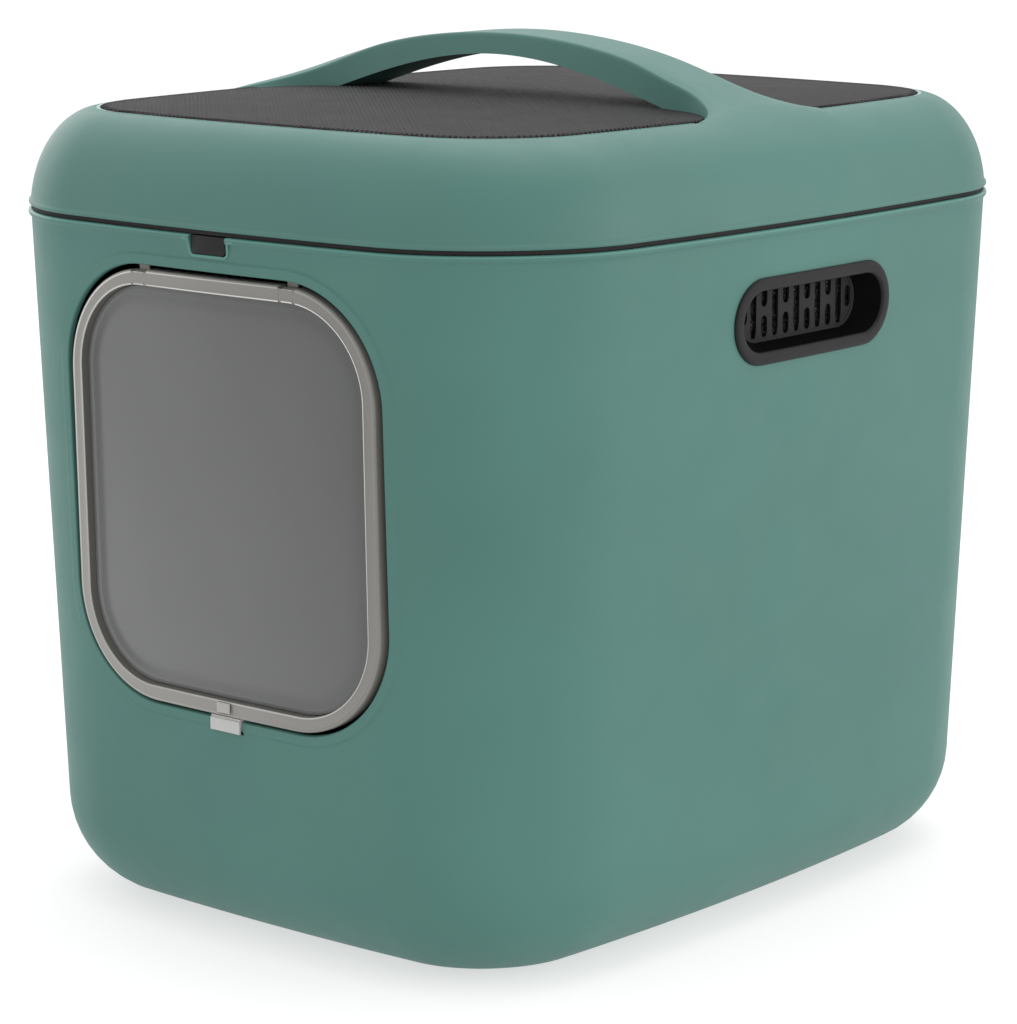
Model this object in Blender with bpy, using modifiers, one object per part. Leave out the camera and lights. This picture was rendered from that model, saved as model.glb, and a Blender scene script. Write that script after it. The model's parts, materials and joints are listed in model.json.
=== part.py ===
"""Cat litter box with hood: a deep tub with a swing flap, and a hinged lid with a carrying handle.

Metres, +Z up. The origin is the middle of the base. The flap faces -Y, and right is +X.
"""

import math

import bmesh
import bpy

# Plan of the box at the base and at the seam between tub and lid
BASE_WIDTH, BASE_LENGTH, BASE_CORNER, BASE_END_BOW = 0.370, 0.457, 0.083, 0.031
SEAM_WIDTH, SEAM_LENGTH, SEAM_CORNER, SEAM_END_BOW = 0.400, 0.483, 0.087, 0.049
SIDE_BOW = 0.065  # share of the half width by which a long side draws in at its ends
SEAM_Z = 0.3764
WALL = 0.0025
GAP = 0.0003  # between touching pieces
CORNER_STEPS, SIDE_STEPS = 8, 4

# Tub
FLOOR_ROUND = 0.053  # radius of the bottom edge
RIM_Z = 0.3749
BEAD = 0.0016  # how far the bead under the rim stands proud

# Doorway and flap. The flap's front is bowed like the tub's wall and leans less than it.
DOOR_HALF, DOOR_LOW, DOOR_HIGH, DOOR_ROUND = 0.110, 0.1250, 0.3565, 0.060
FLAP_HALF, FLAP_LOW, FLAP_HIGH, FLAP_ROUND = 0.1062, 0.1266, 0.3540, 0.056
FLAP_BAND, FLAP_DEPTH, FLAP_PANEL, PANEL_SETBACK = 0.0085, 0.0083, 0.002, 0.0045
FLAP_FRONT_Y, FLAP_LEAN, FLAP_BOW = -0.2358, 0.0224, 0.27
FLAP_AXIS_Y, FLAP_AXIS_Z = -0.2360, 0.3505
KNUCKLE_X, KNUCKLE_HALF, NOTCH_HALF, KNUCKLE_R = 0.0518, 0.0035, 0.0058, 0.0032
NOTCH_LOW, BRIDGE_BACK = 0.3470, -0.2354  # a bridge in front of and below each notch stays
FLAP_PIN_R, FLAP_BORE_R, FLAP_PIN_HALF = 0.0015, 0.0018, 0.0078

# Lock tab: it slides down over the sill at the lock notch
LOCK_HALF, LOCK_NOTCH_HALF, LOCK_NOTCH_LOW = 0.0104, 0.0120, 0.1177
LOCK_SLOT_HALF, LOCK_SLOT_LOW, LOCK_SLOT_HIGH = 0.0030, 0.1280, 0.1332

# Side grips
GRIP_Y, GRIP_Z, GRIP_HALF, GRIP_RISE = 0.0020, 0.3280, 0.06835, 0.0226
GRIP_FLOOR, GRIP_BACK = -0.0116, -0.0128  # the two faces of the slotted plate at the pocket's end
PLATE_Z, PLATE_HALF, PLATE_RISE = 0.3300, 0.0511, 0.0151
GRID_Z, GRID_PITCH, GRID_END, GRID_SLOT = 0.3306, 0.00944, 0.0459, 0.0052
GRID_TALL, GRID_SHORT, GRID_LIFT = 0.0272, 0.0113, 0.00795
FILTER_HALF, FILTER_RISE, FILTER_THICK, FILTER_CORNER = 0.0530, 0.0160, 0.0100, 0.0080
VENTS, VENT_PITCH, VENT_TALL = 9, 0.0110, 0.0240

# Lid
LID_LOW, DOME_IN, DOME_UP, DOME_POWER, DOME_STEPS = 0.3779, 0.0362, 0.0509, 1.876, 8
SHELL, LINER_OUT, LINER_IN = 0.0025, 0.0033, 0.0053  # depths below the dome's outer skin
SKIRT_OUT, SKIRT_IN, SKIRT_LOW = 0.0034, 0.0053, 0.3680
MAT_LOW, MAT_EDGE, MAT_CROWN = 0.4243, 0.4277, 0.0038
LATCH_HALF, LATCH_LOW = 0.0120, 0.3652
LATCH_AXIS_Y, LATCH_AXIS_Z = -0.2404, 0.3742

# Handle: an arch across the lid, whose feet flare into the lid's shoulders
HANDLE_TOP, HANDLE_DROP, HANDLE_SPAN = 0.4642, 0.0392, 0.190
ARCH_TOP, ARCH_DROP, ARCH_SPAN = 0.4528, 0.0245, 0.119
HANDLE_HALF, HANDLE_Y = 0.0202, 0.0008
FLARE_X, FLARE_REACH, FLARE_WIDTH = 0.1245, 0.0400, 0.0500
FOOT_X, FOOT_LOW = 0.1145, 0.4251

# Lid hinge, outside the rear wall
HINGE_X, HINGE_Y, HINGE_Z, HINGE_R = 0.085, 0.2450, 0.3764, 0.0032
HINGE_BORE_R, HINGE_PIN_R, LID_KNUCKLE, TUB_KNUCKLE = 0.00175, 0.0014, 0.0070, 0.0080

GREEN = (0.110, 0.250, 0.210)
DARK = (0.045, 0.042, 0.042)
SMOKE = (0.160, 0.163, 0.160)
RIM_GREY = (0.300, 0.295, 0.275)


def clear_scene():
    for obj in list(bpy.data.objects):
        bpy.data.objects.remove(obj, do_unlink=True)


def collection(name, hidden):
    made = bpy.data.collections.new(name)
    made.hide_render = hidden
    bpy.context.scene.collection.children.link(made)
    return made


def material(name, colour, roughness, alpha=1.0, metallic=0.0):
    made = bpy.data.materials.new(name)
    made.use_nodes = True
    shader = made.node_tree.nodes["Principled BSDF"]
    shader.inputs["Base Color"].default_value = (*colour, 1.0)
    shader.inputs["Roughness"].default_value = roughness
    shader.inputs["Metallic"].default_value = metallic
    shader.inputs["Alpha"].default_value = alpha
    return made


def add_object(name, mesh, look, origin=(0, 0, 0)):
    """Turn a bmesh in world coordinates into an object with its origin at a point of its own."""
    bmesh.ops.recalc_face_normals(mesh, faces=mesh.faces)
    bmesh.ops.translate(mesh, verts=mesh.verts, vec=[-part for part in origin])
    data = bpy.data.meshes.new(name)
    mesh.to_mesh(data)
    mesh.free()
    obj = bpy.data.objects.new(name, data)
    obj.location = origin
    if look is None:
        CUTTERS.objects.link(obj)
        obj.hide_render = True
        obj.display_type = "WIRE"
    else:
        PARTS.objects.link(obj)
        data.materials.append(look)
    return obj


def loft(name, rings, look=None, closed=False, origin=(0, 0, 0)):
    """Skin rings of equally many points. The ends are capped, or joined when the loft is closed."""
    mesh = bmesh.new()
    loops = [[mesh.verts.new(point) for point in ring] for ring in rings]
    pairs = list(zip(loops, loops[1:]))
    if closed:
        pairs.append((loops[-1], loops[0]))
    else:
        mesh.faces.new(reversed(loops[0]))
        mesh.faces.new(loops[-1])
    for low, high in pairs:
        for i in range(len(low)):
            j = (i + 1) % len(low)
            mesh.faces.new((low[i], low[j], high[j], high[i]))
    return add_object(name, mesh, look, origin)


def box(name, low, high, look=None, origin=(0, 0, 0)):
    mesh = bmesh.new()
    bmesh.ops.create_cube(mesh, size=1.0)
    for vertex in mesh.verts:
        vertex.co = [a + (b - a) * (c + 0.5) for a, b, c in zip(low, high, vertex.co)]
    return add_object(name, mesh, look, origin)


def rod(name, x_low, x_high, y, z, radius, sides, look=None, origin=(0, 0, 0)):
    """A round bar along X."""
    rings = []
    for x in (x_low, x_high):
        turns = [2 * math.pi * i / sides for i in range(sides)]
        rings.append([(x, y + radius * math.cos(t), z + radius * math.sin(t)) for t in turns])
    return loft(name, rings, look, origin=origin)


def boolean(target, operation, others):
    for other in others:
        modifier = target.modifiers.new(f"{operation.lower()} {other.name}", "BOOLEAN")
        modifier.operation = operation
        modifier.solver = "EXACT"
        modifier.object = other


def rounded(half_u, half_v, corner, steps, side_steps=1):
    """Points round a rounded rectangle centred on the origin, from +U towards +V."""
    points = []
    for quarter in range(4):
        sign_u = 1 if quarter in (0, 3) else -1
        sign_v = 1 if quarter < 2 else -1
        for step in range(steps + 1):
            turn = (quarter + step / steps) * math.pi / 2
            u = sign_u * (half_u - corner) + corner * math.cos(turn)
            v = sign_v * (half_v - corner) + corner * math.sin(turn)
            points.append((u, v))
    if side_steps == 1:
        return points
    filled = []
    for i, (u, v) in enumerate(points):
        filled.append((u, v))
        if (i + 1) % (steps + 1):
            continue
        next_u, next_v = points[(i + 1) % len(points)]
        for k in range(1, side_steps):
            share = k / side_steps
            filled.append((u + (next_u - u) * share, v + (next_v - v) * share))
    return filled


def bowed_ring(half_x, half_y, corner, end_bow, z):
    """A ring of the box's plan: a rounded rectangle whose sides stand out in the middle."""
    ring = []
    for x, y in rounded(half_x, half_y, corner, CORNER_STEPS, SIDE_STEPS):
        out_x = x * (1 - SIDE_BOW * (y / half_y) ** 2)
        out_y = y * (1 - end_bow * (x / half_x) ** 2)
        ring.append((out_x, out_y, z))
    return ring


def tub_level(z):
    """Half width, half length, corner radius and end bow of the tub's outside at a height."""
    share = z / SEAM_Z
    half_x = (BASE_WIDTH + (SEAM_WIDTH - BASE_WIDTH) * share) / 2
    half_y = (BASE_LENGTH + (SEAM_LENGTH - BASE_LENGTH) * share) / 2
    corner = BASE_CORNER + (SEAM_CORNER - BASE_CORNER) * share
    return half_x, half_y, corner, BASE_END_BOW + (SEAM_END_BOW - BASE_END_BOW) * share


def tub_ring(z, inset):
    half_x, half_y, corner, end_bow = tub_level(z)
    return bowed_ring(half_x - inset, half_y - inset, corner - inset, end_bow, z)


def lid_ring(inset, z):
    half_x, half_y = SEAM_WIDTH / 2 - inset, SEAM_LENGTH / 2 - inset
    return bowed_ring(half_x, half_y, SEAM_CORNER - inset, SEAM_END_BOW, z)


def dome_point(turn, depth):
    """Inset and height of the lid's shoulder, depth below its skin. turn runs from 0 to 90 degrees."""
    across = math.cos(turn) ** (2 / DOME_POWER)
    up = math.sin(turn) ** (2 / DOME_POWER)
    normal_in = across ** (DOME_POWER - 1) / DOME_IN
    normal_down = up ** (DOME_POWER - 1) / DOME_UP
    length = math.hypot(normal_in, normal_down)
    inset = DOME_IN * (1 - across) + depth * normal_in / length
    return inset, SEAM_Z + DOME_UP * up - depth * normal_down / length


def dome_rings(depth, lowest):
    """Rings from the seam to the flat top, starting at the given height."""
    turns = [math.pi / 2 * (i / DOME_STEPS) for i in range(1, DOME_STEPS + 1)]
    rings = [lid_ring(depth, lowest)]
    return rings + [lid_ring(*dome_point(turn, depth)) for turn in turns]


def dome_height(x, depth):
    """Height of the lid's shoulder at y = 0, depth below its skin."""
    low, high = 0.0, math.pi / 2
    for _ in range(30):
        middle = (low + high) / 2
        inset, _height = dome_point(middle, depth)
        low, high = (middle, high) if SEAM_WIDTH / 2 - inset > x else (low, middle)
    return dome_point((low + high) / 2, depth)[1]


def side_x(y, z):
    """X of the tub's right side wall, outside."""
    half_x, half_y, _corner, _bow = tub_level(z)
    return half_x * (1 - SIDE_BOW * (y / half_y) ** 2)


def flap_y(x, z):
    """Y of the flap's front face."""
    return FLAP_FRONT_Y - FLAP_LEAN * (z - 0.130) + FLAP_BOW * x**2


def make_tub():
    rings = []
    for step in range(7):
        turn = math.radians(15 * step)
        rings.append(tub_ring(FLOOR_ROUND * (1 - math.cos(turn)), FLOOR_ROUND * (1 - math.sin(turn))))
    rings.append(tub_ring(0.21, 0))
    for below_rim, proud in ((0.0037, 0), (0.0027, 0.75), (0.0016, 1), (0.0006, 0.75), (0, 0.1)):
        rings.append(tub_ring(RIM_Z - below_rim, -BEAD * proud))
    rings.append(tub_ring(RIM_Z, WALL))
    rings.append(tub_ring(0.21, WALL))
    inner_round = FLOOR_ROUND - WALL
    for step in range(6, -1, -1):
        turn = math.radians(15 * step)
        z = FLOOR_ROUND - inner_round * math.cos(turn)
        rings.append(tub_ring(z, FLOOR_ROUND - inner_round * math.sin(turn)))
    tub = loft("body_shell", rings, TUB_GREEN)
    boolean(tub, "UNION", tub_knuckles())
    boolean(tub, "DIFFERENCE", tub_cutters())


def tub_knuckles():
    knuckles = []
    for x in (-HINGE_X, HINGE_X):
        for side in (-1, 1):
            start = x + side * (LID_KNUCKLE + 0.0004)
            low, high = sorted((start, start + side * TUB_KNUCKLE))
            name = f"tub_knuckle_{len(knuckles)}"
            knuckle = rod(name, low, high, HINGE_Y, HINGE_Z, HINGE_R, 16)
            block = box(f"{name}_block", (low, 0.2380, 0.3650), (high, HINGE_Y + 0.0015, 0.3743))
            knuckles += [block, knuckle]
    return knuckles


def tub_cutters():
    door = []
    middle, rise = (DOOR_LOW + DOOR_HIGH) / 2, (DOOR_HIGH - DOOR_LOW) / 2
    for y in (-0.27, -0.20):
        outline = rounded(DOOR_HALF, rise, DOOR_ROUND, 8)
        door.append([(u, y, middle + v) for u, v in outline])
    cutters = [loft("door_cutter", door)]
    low, high = (-LOCK_NOTCH_HALF, -0.26, LOCK_NOTCH_LOW), (LOCK_NOTCH_HALF, -0.21, 0.130)
    cutters.append(box("lock_notch_cutter", low, high))
    low, high = (-0.0127, -0.26, LATCH_LOW - 0.0005), (0.0127, -0.22, 0.39)
    cutters.append(box("latch_notch_cutter", low, high))
    for side, word in ((-1, "left"), (1, "right")):
        rings = []
        for x in (0.15, 0.25):
            outline = rounded(GRIP_HALF - 0.0039, GRIP_RISE - 0.0038, GRIP_RISE - 0.0038, 6)
            rings.append([(side * x, GRIP_Y + u, GRIP_Z + v) for u, v in outline])
        cutters.append(loft(f"grip_cutter_{word}", rings))
        x = side * HINGE_X
        reach = LID_KNUCKLE + TUB_KNUCKLE + 0.002
        cutters.append(rod(f"tub_bore_{word}", x - reach, x + reach, HINGE_Y, HINGE_Z, HINGE_BORE_R, 12))
    return cutters


def make_lid():
    outside = [lid_ring(0.0004, LID_LOW)] + lid_bead() + dome_rings(0, 0.3806)[1:]
    cover = loft("hood_cover", outside, LID_GREEN)
    inside = loft("hood_inside", dome_rings(SHELL, 0.36))
    opening = loft("hood_opening", [lid_ring(DOME_IN + 0.0006, z) for z in (0.41, 0.44)])
    boolean(cover, "DIFFERENCE", [inside, opening])
    boolean(cover, "UNION", [make_handle()])


def lid_bead():
    """The thin bead round the lid's lower edge."""
    steps = ((0.0006, 0.0009), (0.0015, 0.0009), (0.0024, 0))
    return [lid_ring(-proud, LID_LOW + up) for up, proud in steps]


def foot_half(x):
    """Half the width of a handle foot: it flares in a quarter ellipse towards the lid's edge."""
    far = min(max(x - FLARE_X, 0) / FLARE_REACH, 0.97)
    return HANDLE_HALF + FLARE_WIDTH * (1 - math.sqrt(1 - far**2))


def handle_section(x):
    """Eight points round the handle at a place along it, in Y and Z."""
    far = abs(x)
    top = HANDLE_TOP - HANDLE_DROP * (1 - math.cos(math.pi * far / (2 * HANDLE_SPAN)))
    if far < FOOT_X:
        low = ARCH_TOP - ARCH_DROP * (1 - math.cos(math.pi * far / (2 * ARCH_SPAN)))
        flank = top - 0.0015
        half, top_half = HANDLE_HALF, HANDLE_HALF - 0.0035
    else:
        half = foot_half(far)
        top_half = HANDLE_HALF - 0.0035
        low, flank = FOOT_LOW, MAT_EDGE
        if far > 0.164:
            low, flank = dome_height(far, 0.0014), dome_height(far, 0.0004)
            top = max(top - (far - 0.164) ** 2 * 40, flank)
    shoulder = half - 0.0015 if far < FOOT_X else half - 0.0002
    right = [(half, low + 0.0006), (shoulder, flank), (top_half, top)]
    left = [(-u, v) for u, v in reversed(right)]
    base = [(-half + 0.001, low), (half - 0.001, low)]
    return [(HANDLE_Y + u, v) for u, v in right + left + base]


def make_handle():
    stations = [0, 0.028, 0.055, 0.080, 0.098, 0.108, 0.1138, FOOT_X, 0.121, 0.130, 0.140, 0.150, 0.157]
    stations += [0.163, 0.170, 0.177, 0.184]
    stations = [-x for x in reversed(stations[1:])] + stations
    return loft("handle", [[(x, y, z) for y, z in handle_section(x)] for x in stations])


def make_liner():
    """The dark inner lid: flat top, flange in the seam, and a skirt that sits inside the tub."""
    outside = [
        lid_ring(SKIRT_OUT, SKIRT_LOW),
        lid_ring(SKIRT_OUT, 0.3752),
        lid_ring(0.0006, 0.3752),
        lid_ring(0.0006, 0.3776),
    ]
    outside += dome_rings(LINER_OUT, 0.3776)
    inside = [lid_ring(SKIRT_IN, SKIRT_LOW)] + dome_rings(LINER_IN, 0.3776)
    liner = loft("hood_liner", list(reversed(inside)) + outside, DARK_PLASTIC)
    for side, word in ((-1, "left"), (1, "right")):
        x = side * HINGE_X
        low, high = x - LID_KNUCKLE, x + LID_KNUCKLE
        tongue = box(f"lid_tongue_{word}", (low, 0.2370, 0.3753), (high, HINGE_Y - 0.001, 0.3775))
        knuckle = rod(f"lid_knuckle_{word}", low, high, HINGE_Y, HINGE_Z, HINGE_R, 16)
        bore = rod(f"lid_bore_{word}", low - 0.001, high + 0.001, HINGE_Y, HINGE_Z, HINGE_BORE_R, 12)
        boolean(liner, "UNION", [tongue, knuckle])
        boolean(liner, "DIFFERENCE", [bore])
        reach = LID_KNUCKLE + TUB_KNUCKLE
        centre = (x, HINGE_Y, HINGE_Z)
        name = f"lid_hinge_pin_{word}"
        rod(name, x - reach, x + reach, HINGE_Y, HINGE_Z, HINGE_PIN_R, 10, STEEL, centre)


def make_mat():
    def shrunk(share, z):
        return [(x * share, y * share, z) for x, y, _z in lid_ring(DOME_IN + 0.0012, z)]

    rings = [shrunk(1, MAT_LOW), shrunk(1, MAT_EDGE - 0.0004)]
    for share in (0.985, 0.8, 0.6, 0.35, 0.1):
        rings.append(shrunk(share, MAT_EDGE + MAT_CROWN * (1 - share**2)))
    mat = loft("top_mat", rings, MAT_RUBBER)
    for side, word in ((-1, "left"), (1, "right")):
        boolean(mat, "DIFFERENCE", [foot_cutter(side, word)])


def foot_cutter(side, word):
    """The outline of a handle foot, a little larger, cut out of the mat."""
    front = []
    for x in [FOOT_X - 0.0009, 0.121, 0.130, 0.140, 0.150, 0.157, 0.163, 0.176]:
        front.append((side * x, foot_half(x) + 0.0006))
    outline = front + [(x, -half) for x, half in reversed(front)]
    return loft(f"foot_cutter_{word}", [[(x, HANDLE_Y + y, z) for x, y in outline] for z in (0.41, 0.45)])


def make_latch():
    low, high = (-LATCH_HALF, -0.2416, LATCH_LOW), (LATCH_HALF, -0.2392, 0.3747)
    latch = box("lid_latch", low, high, DARK_PLASTIC, (0, LATCH_AXIS_Y, LATCH_AXIS_Z))
    bevel = latch.modifiers.new("rounded edges", "BEVEL")
    bevel.width, bevel.segments = 0.0003, 1


def flap_ring(inset, depth):
    middle, rise = (FLAP_LOW + FLAP_HIGH) / 2, (FLAP_HIGH - FLAP_LOW) / 2
    outline = rounded(FLAP_HALF - inset, rise - inset, FLAP_ROUND - inset, 8, 3)
    return [(u, flap_y(u, middle + v) + depth, middle + v) for u, v in outline]


def make_flap():
    axis = (0, FLAP_AXIS_Y, FLAP_AXIS_Z)
    section = [(0, FLAP_DEPTH), (0, 0.0017), (0.0017, 0), (FLAP_BAND - 0.0006, 0)]
    section += [(FLAP_BAND, 0.0006), (FLAP_BAND, FLAP_DEPTH)]
    rings = [flap_ring(inset, depth) for inset, depth in section]
    frame = loft("flap_frame", rings, FLAP_RIM, closed=True, origin=axis)
    slot_low, slot_high = (-LOCK_SLOT_HALF, -0.25, LOCK_SLOT_LOW), (LOCK_SLOT_HALF, -0.22, LOCK_SLOT_HIGH)
    cutters = [box("lock_slot_cutter", slot_low, slot_high)]
    for side, word in ((-1, "left"), (1, "right")):
        x = side * KNUCKLE_X
        low, high = (x - NOTCH_HALF, -0.25, NOTCH_LOW), (x + NOTCH_HALF, -0.22, 0.36)
        cutters.append(box(f"knuckle_notch_{word}", low, high))
        low, high = (x - NOTCH_HALF + 0.0001, BRIDGE_BACK, 0.3440), (x + NOTCH_HALF - 0.0001, -0.22, 0.352)
        cutters.append(box(f"bridge_relief_{word}", low, high))
        reach = FLAP_PIN_HALF + GAP
        bore = rod(f"flap_bore_{word}", x - reach, x + reach, FLAP_AXIS_Y, FLAP_AXIS_Z, FLAP_BORE_R, 12)
        cutters.append(bore)
        low, high = x - FLAP_PIN_HALF, x + FLAP_PIN_HALF
        centre = (x, FLAP_AXIS_Y, FLAP_AXIS_Z)
        rod(f"flap_hinge_pin_{word}", low, high, FLAP_AXIS_Y, FLAP_AXIS_Z, FLAP_PIN_R, 10, STEEL, centre)
    boolean(frame, "DIFFERENCE", cutters)
    edge = FLAP_BAND + GAP
    panel = [flap_ring(edge, PANEL_SETBACK + FLAP_PANEL), flap_ring(edge, PANEL_SETBACK)]
    loft("flap_panel", panel, FLAP_SMOKE, origin=axis)


def make_flap_brackets():
    """Each bracket clips inside the wall over the door and holds a knuckle in the flap's notch."""
    for side, word in ((-1, "left"), (1, "right")):
        low, high = side * KNUCKLE_X - KNUCKLE_HALF, side * KNUCKLE_X + KNUCKLE_HALF
        name = f"flap_hinge_bracket_{word}"
        bracket = rod(name, low, high, FLAP_AXIS_Y, FLAP_AXIS_Z, KNUCKLE_R, 16, FLAP_RIM)
        web = box(f"{name}_web", (low, -0.2369, 0.3500), (high, -0.2345, 0.3560))
        arm = box(f"{name}_arm", (low, -0.2368, 0.3541), (high, -0.2120, 0.3572))
        plate = box(f"{name}_plate", (low, -0.2367, 0.3560), (high, -0.2350, 0.3672))
        bore = rod(f"{name}_bore", low - 0.001, high + 0.001, FLAP_AXIS_Y, FLAP_AXIS_Z, FLAP_BORE_R, 12)
        boolean(bracket, "UNION", [web, arm, plate])
        boolean(bracket, "DIFFERENCE", [bore])


def make_lock():
    """A slider on the flap's lower rim: two prongs that drop either side of the sill, and a grip."""
    front, back, prong_low, bridge_low, bridge_high = -0.2357, -0.2250, 0.1183, 0.1222, 0.1263
    profile = [(front, prong_low), (-0.2337, prong_low), (-0.2337, bridge_low), (-0.2290, bridge_low)]
    profile += [(-0.2290, prong_low), (back, prong_low), (back, 0.1340), (-0.2270, 0.1340)]
    profile += [(-0.2270, bridge_high), (front, bridge_high)]
    rings = [[(x, y, z) for y, z in profile] for x in (-LOCK_HALF, LOCK_HALF)]
    lock = loft("flap_lock", rings, CLEAR, origin=(0, front, bridge_high))
    stem = box("lock_stem", (-0.0026, -0.2370, 0.1313), (0.0026, -0.2260, 0.1329))
    grip = box("lock_grip", (-0.0052, -0.2377, 0.1296), (0.0052, -0.2363, 0.1342))
    boolean(lock, "UNION", [stem, grip])


def side_ring(side, half, rise, depth, middle=GRIP_Z, corner=None):
    """A rounded ring on the tub's side, depth out from the wall. Deep rings are flat."""
    ring = []
    for u, v in rounded(half, rise, corner or rise, 6, 4):
        y, z = GRIP_Y + u, middle + v
        wall = side_x(y, z) if depth > GRIP_FLOOR / 2 else side_x(0, GRIP_Z)
        ring.append((side * (wall + depth), y, z))
    return ring


def slot_cutter(name, side, y, z, height, depths):
    """A tall slot with round ends, through the side pieces between two depths."""
    outline = rounded(GRID_SLOT / 2, height / 2, GRID_SLOT / 2 - 0.00001, 2)
    rings = []
    for depth in depths:
        rings.append([(side * (side_x(0, GRIP_Z) + depth), y + u, z + v) for u, v in outline])
    return loft(name, rings)


def grid_slots():
    """Place and height of every slot: full columns, split columns between them, a short one at each end."""
    slots = [(GRIP_Y - GRID_END, GRID_Z, GRID_SHORT), (GRIP_Y + GRID_END, GRID_Z, GRID_SHORT)]
    for column in range(-4, 5):
        y = GRIP_Y + GRID_PITCH * column
        if column % 2:
            slots += [(y, GRID_Z - GRID_LIFT, GRID_SHORT), (y, GRID_Z + GRID_LIFT, GRID_SHORT)]
        else:
            slots.append((y, GRID_Z, GRID_TALL))
    return slots


def make_grip(side, word):
    section = [
        (PLATE_HALF, PLATE_RISE, GRIP_FLOOR, PLATE_Z),
        (GRIP_HALF - 0.0068, GRIP_RISE - 0.0068, 0.0008),
        (GRIP_HALF - 0.0058, GRIP_RISE - 0.0058, 0.0018),
        (GRIP_HALF - 0.0006, GRIP_RISE - 0.0006, 0.0018),
        (GRIP_HALF, GRIP_RISE, 0.0012),
        (GRIP_HALF, GRIP_RISE, GAP),
        (GRIP_HALF - 0.0042, GRIP_RISE - 0.0041, GAP),
        (PLATE_HALF + 0.0012, PLATE_RISE + 0.0013, GRIP_BACK, PLATE_Z),
    ]
    cup = loft(f"grip_cup_{word}", [side_ring(side, *step) for step in section], DARK_PLASTIC)
    cutters = []
    for y, z, height in grid_slots():
        name = f"slot_{word}_{len(cutters)}"
        depths = (GRIP_BACK - 0.0040, GRIP_FLOOR + 0.0030)  # right through the plate
        cutters.append(slot_cutter(name, side, y, z, height, depths))
    boolean(cup, "DIFFERENCE", cutters)


def make_filter(side, word):
    """A carbon pad behind the slots, in a vented cover that pulls off towards the inside."""
    front, rear = GRIP_BACK - 0.0004, GRIP_BACK - 0.0004 - FILTER_THICK
    pad = (FILTER_HALF, FILTER_RISE)
    rings = [side_ring(side, *pad, depth, PLATE_Z, FILTER_CORNER) for depth in (front, rear)]
    loft(f"carbon_filter_{word}", rings, CARBON)
    inner = (FILTER_HALF + 0.0050, FILTER_RISE + 0.0025)
    outer = (FILTER_HALF + 0.0067, FILTER_RISE + 0.0042)
    section = [
        (*inner, rear - 0.0004),
        (*inner, GRIP_BACK + 0.0040),
        (*outer, GRIP_BACK + 0.0040),
        (*outer, rear - 0.0022),
    ]
    rings = [side_ring(side, *step, PLATE_Z, FILTER_CORNER + 0.0015) for step in section]
    cover = loft(f"filter_cover_{word}", rings, DARK_PLASTIC)
    cutters = []
    for column in range(VENTS):
        y = GRIP_Y + VENT_PITCH * (column - (VENTS - 1) / 2)
        depths = (rear - 0.0080, rear + 0.0040)
        name = f"vent_{word}_{column}"
        cutters.append(slot_cutter(name, side, y, PLATE_Z, VENT_TALL, depths))
    boolean(cover, "DIFFERENCE", cutters)


clear_scene()
PARTS = collection("cat_litter_box", False)
CUTTERS = collection("cutters", True)
TUB_GREEN = material("tub green plastic", GREEN, 0.5)
LID_GREEN = material("lid green plastic", GREEN, 0.5)
DARK_PLASTIC = material("dark plastic", DARK, 0.5)
MAT_RUBBER = material("mat rubber", (0.085, 0.083, 0.083), 0.8)
FLAP_RIM = material("flap rim plastic", RIM_GREY, 0.25, 0.85)
FLAP_SMOKE = material("smoked flap plastic", SMOKE, 0.2, 0.8)
CLEAR = material("clear plastic", (0.7, 0.7, 0.7), 0.15, 0.6)
CARBON = material("active carbon", (0.01, 0.01, 0.01), 0.9)
STEEL = material("steel", (0.6, 0.6, 0.6), 0.3, metallic=1.0)
make_tub()
make_lid()
make_liner()
make_mat()
make_latch()
make_flap()
make_flap_brackets()
make_lock()
for hand, hand_word in ((-1, "left"), (1, "right")):
    make_grip(hand, hand_word)
    make_filter(hand, hand_word)
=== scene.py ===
"""Looks of the hooded cat litter box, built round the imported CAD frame. Metres, +Z up, flap at -Y."""

import json
import math

import bmesh
import bpy
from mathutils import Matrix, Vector, noise


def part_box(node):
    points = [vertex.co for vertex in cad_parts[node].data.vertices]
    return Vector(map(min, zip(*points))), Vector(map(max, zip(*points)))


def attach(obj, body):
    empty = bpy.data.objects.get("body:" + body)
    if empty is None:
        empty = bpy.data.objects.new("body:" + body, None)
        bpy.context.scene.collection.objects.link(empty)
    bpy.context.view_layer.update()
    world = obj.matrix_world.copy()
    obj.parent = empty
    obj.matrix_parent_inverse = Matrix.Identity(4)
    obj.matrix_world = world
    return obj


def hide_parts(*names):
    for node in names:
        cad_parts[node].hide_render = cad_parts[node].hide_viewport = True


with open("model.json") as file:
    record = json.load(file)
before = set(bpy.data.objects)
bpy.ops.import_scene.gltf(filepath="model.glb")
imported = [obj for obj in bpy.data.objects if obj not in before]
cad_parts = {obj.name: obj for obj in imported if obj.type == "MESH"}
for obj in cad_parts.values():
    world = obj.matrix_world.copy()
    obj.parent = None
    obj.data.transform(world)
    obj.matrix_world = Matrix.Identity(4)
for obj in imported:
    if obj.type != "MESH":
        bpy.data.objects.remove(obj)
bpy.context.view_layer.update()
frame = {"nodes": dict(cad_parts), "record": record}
JOINTS = {joint["name"]: joint for joint in frame["record"]["behaviour"]["joints"]}
FLAP_AXIS_Y, FLAP_AXIS_Z = JOINTS["flap_swing"]["pos_m"][1:]

# Plan of the box at its base and at the seam: half width, half length, corner radius, end bow
SEAM_Z = 0.3764
BASE_PLAN = (0.1850, 0.2285, 0.0828, 0.0307)
SEAM_PLAN = (0.2000, 0.24145, 0.0874, 0.0491)
SIDE_BOW = 0.0652
WALL = 0.0025
FLOOR_ROUND = 0.0529
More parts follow.
